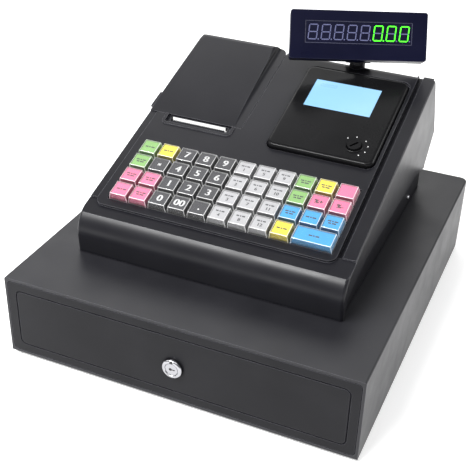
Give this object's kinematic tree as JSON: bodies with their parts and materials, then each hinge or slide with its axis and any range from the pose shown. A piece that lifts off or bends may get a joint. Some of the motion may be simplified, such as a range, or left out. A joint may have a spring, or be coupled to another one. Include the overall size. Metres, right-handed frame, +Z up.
{
  "type": "cash register",
  "caption": "Electronic cash register with a colour-coded keyboard, receipt printer, operator and customer displays, on a locking steel cash drawer with a till tray",
  "frame": {"origin": "centre of the bounding box at the plane of the rubber feet", "axes": "+Z up, +X to the operator's right, the operator stands at -Y and the drawer opens towards -Y"},
  "size_m": [0.335, 0.374, 0.2668],
  "materials": {
    "cabinet_paint": "fine-textured satin black powder coat",
    "casing_plastic": "satin charcoal moulded plastic with a fine grain",
    "black_rubber": "matte",
    "zinc_steel": "zinc plated, dull",
    "tray_plastic": "black moulded plastic",
    "lock_chrome": "polished",
    "board_green": "printed circuit board with green resist",
    "display_gloss": "high-gloss black",
    "display_navy": "dark navy tinted, satin gloss",
    "mechanism_plastic": "dark grey moulded plastic",
    "receipt_paper": "white thermal paper",
    "key_green": "clear cap over a pale green insert",
    "key_yellow": "clear cap over a yellow insert",
    "key_dark": "clear cap over a dark grey insert",
    "key_grey": "clear cap over a light grey insert",
    "key_pink": "clear cap over a pink insert",
    "key_blue": "clear cap over a blue insert"
  },
  "bodies": {
    "register": {"drawer_cabinet": "cabinet_paint", "cabinet_feet": "black_rubber", "slide_rails": "zinc_steel", "base_casing": "casing_plastic", "top_casing": "casing_plastic", "circuit_boards": "board_green", "display_panel": "display_gloss", "printer_mechanism": "mechanism_plastic"},
    "drawer": {"drawer_front": "cabinet_paint", "drawer_box": "zinc_steel", "till_tray": "tray_plastic"},
    "lock": {"drawer_lock": "lock_chrome"},
    "mast": {"display_mast": "casing_plastic"},
    "display": {"customer_display": "display_navy"},
    "cover": {"printer_cover": "casing_plastic"},
    "roll": {"paper_roll": "receipt_paper"},
    "selector": {"mode_switch": "display_gloss"},
    "key_feed": {"key_feed": "key_green"},
    "key_clerk": {"key_clerk": "key_yellow"},
    "key_7": {"key_7": "key_dark"},
    "key_8": {"key_8": "key_dark"},
    "key_9": {"key_9": "key_dark"},
    "key_department_1": {"key_department_1": "key_grey"},
    "key_department_5": {"key_department_5": "key_grey"},
    "key_department_9": {"key_department_9": "key_grey"},
    "key_received_on_account": {"key_received_on_account": "key_green"},
    "key_price_lookup": {"key_price_lookup": "key_yellow"},
    "key_spare": {"key_spare": "key_pink"},
    "key_receipt": {"key_receipt": "key_green"},
    "key_times": {"key_times": "key_dark"},
    "key_4": {"key_4": "key_dark"},
    "key_5": {"key_5": "key_dark"},
    "key_6": {"key_6": "key_dark"},
    "key_department_2": {"key_department_2": "key_grey"},
    "key_department_6": {"key_department_6": "key_grey"},
    "key_department_10": {"key_department_10": "key_grey"},
    "key_paid_out": {"key_paid_out": "key_green"},
    "key_percent_plus": {"key_percent_plus": "key_pink"},
    "key_percent_minus": {"key_percent_minus": "key_pink"},
    "key_cancel": {"key_cancel": "key_pink"},
    "key_refund": {"key_refund": "key_pink"},
    "key_1": {"key_1": "key_dark"},
    "key_2": {"key_2": "key_dark"},
    "key_3": {"key_3": "key_dark"},
    "key_department_3": {"key_department_3": "key_grey"},
    "key_department_7": {"key_department_7": "key_grey"},
    "key_department_11": {"key_department_11": "key_grey"},
    "key_charge": {"key_charge": "key_blue"},
    "key_card": {"key_card": "key_blue"},
    "key_subtotal": {"key_subtotal": "key_blue"},
    "key_clear": {"key_clear": "key_pink"},
    "key_correction": {"key_correction": "key_pink"},
    "key_0": {"key_0": "key_dark"},
    "key_00": {"key_00": "key_dark"},
    "key_point": {"key_point": "key_dark"},
    "key_department_4": {"key_department_4": "key_grey"},
    "key_department_8": {"key_department_8": "key_grey"},
    "key_department_12": {"key_department_12": "key_grey"},
    "key_table": {"key_table": "key_yellow"},
    "key_cash": {"key_cash": "key_blue"}
  },
  "joints": [
    {"name": "drawer_slide", "type": "slide", "parent": "register", "child": "drawer", "axis": [0, -1, 0], "range_m": [0, 0.235]},
    {"name": "lock_turn", "type": "hinge", "parent": "drawer", "child": "lock", "pos_m": [0, -0.183, 0.0415], "axis": [0, -1, 0], "range_deg": [0, 90]},
    {"name": "display_swivel", "type": "hinge", "parent": "register", "child": "mast", "pos_m": [0.0445, 0.146, 0.209], "axis": [0, 0, 1], "range_deg": [-30, 160]},
    {"name": "display_tilt", "type": "hinge", "parent": "mast", "child": "display", "pos_m": [0.0445, 0.146, 0.22], "axis": [0.9239, 0.3827, 0], "range_deg": [-25, 28]},
    {"name": "printer_cover_hinge", "type": "hinge", "parent": "register", "child": "cover", "pos_m": [-0.082, 0.14095, 0.20282], "axis": [-1, 0, 0], "range_deg": [0, 90]},
    {"name": "paper_roll_spin", "type": "hinge", "parent": "register", "child": "roll", "pos_m": [-0.075, 0.09385, 0.15599], "axis": [1, 0, 0], "continuous": true},
    {"name": "mode_switch_turn", "type": "hinge", "parent": "register", "child": "selector", "pos_m": [0.0815, 0.02728, 0.17757], "axis": [0, -0.3007, 0.9537], "range_deg": [-120, 80]},
    {"name": "key_feed_press", "type": "slide", "parent": "register", "child": "key_feed", "axis": [0, 0.3007, -0.9537], "range_m": [0, 0.0035], "stiffness_N_per_m": 200, "springref_m": -0.0015},
    {"name": "key_clerk_press", "type": "slide", "parent": "register", "child": "key_clerk", "axis": [0, 0.3007, -0.9537], "range_m": [0, 0.0035], "stiffness_N_per_m": 200, "springref_m": -0.0015},
    {"name": "key_7_press", "type": "slide", "parent": "register", "child": "key_7", "axis": [0, 0.3007, -0.9537], "range_m": [0, 0.0035], "stiffness_N_per_m": 200, "springref_m": -0.0015},
    {"name": "key_8_press", "type": "slide", "parent": "register", "child": "key_8", "axis": [0, 0.3007, -0.9537], "range_m": [0, 0.0035], "stiffness_N_per_m": 200, "springref_m": -0.0015},
    {"name": "key_9_press", "type": "slide", "parent": "register", "child": "key_9", "axis": [0, 0.3007, -0.9537], "range_m": [0, 0.0035], "stiffness_N_per_m": 200, "springref_m": -0.0015},
    {"name": "key_department_1_press", "type": "slide", "parent": "register", "child": "key_department_1", "axis": [0, 0.3007, -0.9537], "range_m": [0, 0.0035], "stiffness_N_per_m": 200, "springref_m": -0.0015},
    {"name": "key_department_5_press", "type": "slide", "parent": "register", "child": "key_department_5", "axis": [0, 0.3007, -0.9537], "range_m": [0, 0.0035], "stiffness_N_per_m": 200, "springref_m": -0.0015},
    {"name": "key_department_9_press", "type": "slide", "parent": "register", "child": "key_department_9", "axis": [0, 0.3007, -0.9537], "range_m": [0, 0.0035], "stiffness_N_per_m": 200, "springref_m": -0.0015},
    {"name": "key_received_on_account_press", "type": "slide", "parent": "register", "child": "key_received_on_account", "axis": [0, 0.3007, -0.9537], "range_m": [0, 0.0035], "stiffness_N_per_m": 200, "springref_m": -0.0015},
    {"name": "key_price_lookup_press", "type": "slide", "parent": "register", "child": "key_price_lookup", "axis": [0, 0.3007, -0.9537], "range_m": [0, 0.0035], "stiffness_N_per_m": 200, "springref_m": -0.0015},
    {"name": "key_spare_press", "type": "slide", "parent": "register", "child": "key_spare", "axis": [0, 0.3007, -0.9537], "range_m": [0, 0.0035], "stiffness_N_per_m": 200, "springref_m": -0.0015},
    {"name": "key_receipt_press", "type": "slide", "parent": "register", "child": "key_receipt", "axis": [0, 0.3007, -0.9537], "range_m": [0, 0.0035], "stiffness_N_per_m": 200, "springref_m": -0.0015},
    {"name": "key_times_press", "type": "slide", "parent": "register", "child": "key_times", "axis": [0, 0.3007, -0.9537], "range_m": [0, 0.0035], "stiffness_N_per_m": 200, "springref_m": -0.0015},
    {"name": "key_4_press", "type": "slide", "parent": "register", "child": "key_4", "axis": [0, 0.3007, -0.9537], "range_m": [0, 0.0035], "stiffness_N_per_m": 200, "springref_m": -0.0015},
    {"name": "key_5_press", "type": "slide", "parent": "register", "child": "key_5", "axis": [0, 0.3007, -0.9537], "range_m": [0, 0.0035], "stiffness_N_per_m": 200, "springref_m": -0.0015},
    {"name": "key_6_press", "type": "slide", "parent": "register", "child": "key_6", "axis": [0, 0.3007, -0.9537], "range_m": [0, 0.0035], "stiffness_N_per_m": 200, "springref_m": -0.0015},
    {"name": "key_department_2_press", "type": "slide", "parent": "register", "child": "key_department_2", "axis": [0, 0.3007, -0.9537], "range_m": [0, 0.0035], "stiffness_N_per_m": 200, "springref_m": -0.0015},
    {"name": "key_department_6_press", "type": "slide", "parent": "register", "child": "key_department_6", "axis": [0, 0.3007, -0.9537], "range_m": [0, 0.0035], "stiffness_N_per_m": 200, "springref_m": -0.0015},
    {"name": "key_department_10_press", "type": "slide", "parent": "register", "child": "key_department_10", "axis": [0, 0.3007, -0.9537], "range_m": [0, 0.0035], "stiffness_N_per_m": 200, "springref_m": -0.0015},
    {"name": "key_paid_out_press", "type": "slide", "parent": "register", "child": "key_paid_out", "axis": [0, 0.3007, -0.9537], "range_m": [0, 0.0035], "stiffness_N_per_m": 200, "springref_m": -0.0015},
    {"name": "key_percent_plus_press", "type": "slide", "parent": "register", "child": "key_percent_plus", "axis": [0, 0.3007, -0.9537], "range_m": [0, 0.0035], "stiffness_N_per_m": 200, "springref_m": -0.0015},
    {"name": "key_percent_minus_press", "type": "slide", "parent": "register", "child": "key_percent_minus", "axis": [0, 0.3007, -0.9537], "range_m": [0, 0.0035], "stiffness_N_per_m": 200, "springref_m": -0.0015},
    {"name": "key_cancel_press", "type": "slide", "parent": "register", "child": "key_cancel", "axis": [0, 0.3007, -0.9537], "range_m": [0, 0.0035], "stiffness_N_per_m": 200, "springref_m": -0.0015},
    {"name": "key_refund_press", "type": "slide", "parent": "register", "child": "key_refund", "axis": [0, 0.3007, -0.9537], "range_m": [0, 0.0035], "stiffness_N_per_m": 200, "springref_m": -0.0015},
    {"name": "key_1_press", "type": "slide", "parent": "register", "child": "key_1", "axis": [0, 0.3007, -0.9537], "range_m": [0, 0.0035], "stiffness_N_per_m": 200, "springref_m": -0.0015},
    {"name": "key_2_press", "type": "slide", "parent": "register", "child": "key_2", "axis": [0, 0.3007, -0.9537], "range_m": [0, 0.0035], "stiffness_N_per_m": 200, "springref_m": -0.0015},
    {"name": "key_3_press", "type": "slide", "parent": "register", "child": "key_3", "axis": [0, 0.3007, -0.9537], "range_m": [0, 0.0035], "stiffness_N_per_m": 200, "springref_m": -0.0015},
    {"name": "key_department_3_press", "type": "slide", "parent": "register", "child": "key_department_3", "axis": [0, 0.3007, -0.9537], "range_m": [0, 0.0035], "stiffness_N_per_m": 200, "springref_m": -0.0015},
    {"name": "key_department_7_press", "type": "slide", "parent": "register", "child": "key_department_7", "axis": [0, 0.3007, -0.9537], "range_m": [0, 0.0035], "stiffness_N_per_m": 200, "springref_m": -0.0015},
    {"name": "key_department_11_press", "type": "slide", "parent": "register", "child": "key_department_11", "axis": [0, 0.3007, -0.9537], "range_m": [0, 0.0035], "stiffness_N_per_m": 200, "springref_m": -0.0015},
    {"name": "key_charge_press", "type": "slide", "parent": "register", "child": "key_charge", "axis": [0, 0.3007, -0.9537], "range_m": [0, 0.0035], "stiffness_N_per_m": 200, "springref_m": -0.0015},
    {"name": "key_card_press", "type": "slide", "parent": "register", "child": "key_card", "axis": [0, 0.3007, -0.9537], "range_m": [0, 0.0035], "stiffness_N_per_m": 200, "springref_m": -0.0015},
    {"name": "key_subtotal_press", "type": "slide", "parent": "register", "child": "key_subtotal", "axis": [0, 0.3007, -0.9537], "range_m": [0, 0.0035], "stiffness_N_per_m": 200, "springref_m": -0.0015},
    {"name": "key_clear_press", "type": "slide", "parent": "register", "child": "key_clear", "axis": [0, 0.3007, -0.9537], "range_m": [0, 0.0035], "stiffness_N_per_m": 200, "springref_m": -0.0015},
    {"name": "key_correction_press", "type": "slide", "parent": "register", "child": "key_correction", "axis": [0, 0.3007, -0.9537], "range_m": [0, 0.0035], "stiffness_N_per_m": 200, "springref_m": -0.0015},
    {"name": "key_0_press", "type": "slide", "parent": "register", "child": "key_0", "axis": [0, 0.3007, -0.9537], "range_m": [0, 0.0035], "stiffness_N_per_m": 200, "springref_m": -0.0015},
    {"name": "key_00_press", "type": "slide", "parent": "register", "child": "key_00", "axis": [0, 0.3007, -0.9537], "range_m": [0, 0.0035], "stiffness_N_per_m": 200, "springref_m": -0.0015},
    {"name": "key_point_press", "type": "slide", "parent": "register", "child": "key_point", "axis": [0, 0.3007, -0.9537], "range_m": [0, 0.0035], "stiffness_N_per_m": 200, "springref_m": -0.0015},
    {"name": "key_department_4_press", "type": "slide", "parent": "register", "child": "key_department_4", "axis": [0, 0.3007, -0.9537], "range_m": [0, 0.0035], "stiffness_N_per_m": 200, "springref_m": -0.0015},
    {"name": "key_department_8_press", "type": "slide", "parent": "register", "child": "key_department_8", "axis": [0, 0.3007, -0.9537], "range_m": [0, 0.0035], "stiffness_N_per_m": 200, "springref_m": -0.0015},
    {"name": "key_department_12_press", "type": "slide", "parent": "register", "child": "key_department_12", "axis": [0, 0.3007, -0.9537], "range_m": [0, 0.0035], "stiffness_N_per_m": 200, "springref_m": -0.0015},
    {"name": "key_table_press", "type": "slide", "parent": "register", "child": "key_table", "axis": [0, 0.3007, -0.9537], "range_m": [0, 0.0035], "stiffness_N_per_m": 200, "springref_m": -0.0015},
    {"name": "key_cash_press", "type": "slide", "parent": "register", "child": "key_cash", "axis": [0, 0.3007, -0.9537], "range_m": [0, 0.0035], "stiffness_N_per_m": 200, "springref_m": -0.0015}
  ]
}
